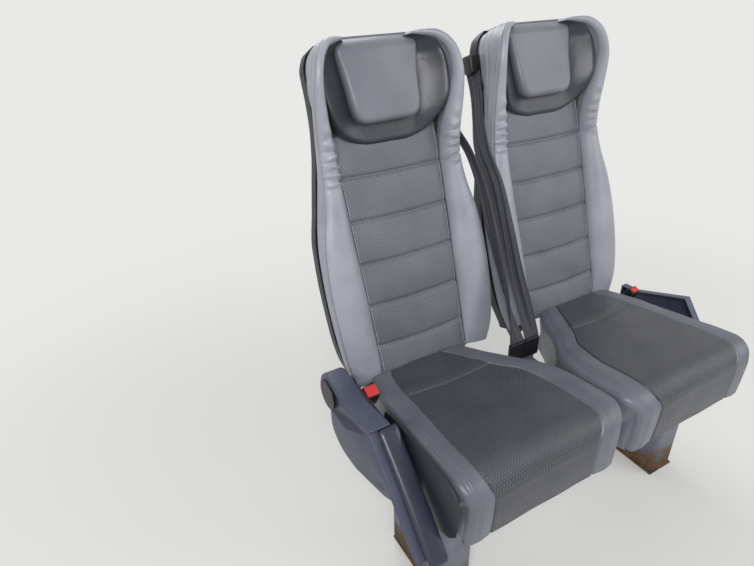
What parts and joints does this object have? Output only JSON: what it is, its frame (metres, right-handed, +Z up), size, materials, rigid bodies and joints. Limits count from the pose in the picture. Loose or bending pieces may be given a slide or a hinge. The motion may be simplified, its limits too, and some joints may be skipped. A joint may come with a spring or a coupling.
{
  "type": "twin minibus passenger seat",
  "caption": "Twin passenger seat unit for a minibus: reclining bolstered backs, cushions, three-point belts, a lifting aisle armrest and floor legs.",
  "frame": {"origin": "centre of the aisle leg's sole, on the floor", "axes": "+X across the row from the aisle to the window, -Y the way the sitters face, +Z up"},
  "size_m": [1.0134, 0.7286, 1.1576],
  "materials": {
    "leatherette_grey": "fine-grained coated fabric, satin, double-stitched seams",
    "leatherette_charcoal": "dark fine-grained coated fabric, satin",
    "leatherette_head": "mid-grey fine-grained coated fabric, satin",
    "shell_plastic": "moulded, fine matt grain",
    "shield_plastic": "moulded, fine matt grain",
    "arm_pad": "soft skin, slightly shiny",
    "black_plastic": "moulded, satin",
    "buckle_red": "moulded, smooth",
    "webbing": "close-woven belt webbing",
    "painted_steel": "powder-coated, brown dirt and rust at the feet",
    "bright_steel": "plain rolled steel"
  },
  "bodies": {
    "root": {"arm_bracket": "painted_steel", "beam_front": "painted_steel", "beam_rear": "painted_steel", "belt_anchor": "painted_steel", "belt_sheath_aisle": "black_plastic", "belt_sheath_window": "black_plastic", "buckle_aisle": "black_plastic", "buckle_button_aisle": "buckle_red", "buckle_button_window": "buckle_red", "buckle_stalk_aisle": "bright_steel", "buckle_stalk_window": "bright_steel", "buckle_window": "black_plastic", "cushion_aisle": "leatherette_grey", "cushion_window": "leatherette_grey", "end_bracket": "painted_steel", "leg_aisle": "painted_steel", "leg_window": "painted_steel", "pan_aisle": "black_plastic", "pan_window": "black_plastic", "rail_aisle_inner": "painted_steel", "rail_aisle_outer": "painted_steel", "rail_window_inner": "painted_steel", "rail_window_outer": "painted_steel", "side_shield": "shield_plastic", "webbing_lower_aisle": "webbing", "webbing_lower_window": "webbing", "window_end_cover": "shield_plastic"},
    "back_aisle": {"back_frame_aisle": "painted_steel", "back_cushion_aisle": "leatherette_grey", "back_shell_aisle": "shell_plastic", "collar_aisle": "leatherette_charcoal", "head_pad_aisle": "leatherette_head", "belt_guide_aisle": "black_plastic", "webbing_upper_aisle": "webbing"},
    "back_window": {"back_frame_window": "painted_steel", "back_cushion_window": "leatherette_grey", "back_shell_window": "shell_plastic", "collar_window": "leatherette_charcoal", "head_pad_window": "leatherette_head", "belt_guide_window": "black_plastic", "webbing_upper_window": "webbing"},
    "armrest": {"arm_moulding": "shield_plastic", "arm_pad": "arm_pad", "arm_cap": "black_plastic"}
  },
  "joints": [
    {"name": "recline_aisle", "type": "hinge", "parent": "root", "child": "back_aisle", "pos_m": [0.1295, 0.26396, 0.3735], "axis": [-1, 0, 0], "range_deg": [0, 18], "deforming": ["webbing_upper_aisle"]},
    {"name": "recline_window", "type": "hinge", "parent": "root", "child": "back_window", "pos_m": [0.5995, 0.26396, 0.3735], "axis": [-1, 0, 0], "range_deg": [0, 18], "deforming": ["webbing_upper_window"]},
    {"name": "armrest_lift", "type": "hinge", "parent": "root", "child": "armrest", "pos_m": [-0.137, 0.162, 0.485], "axis": [-1, 0, 0], "range_deg": [0, 100]}
  ]
}
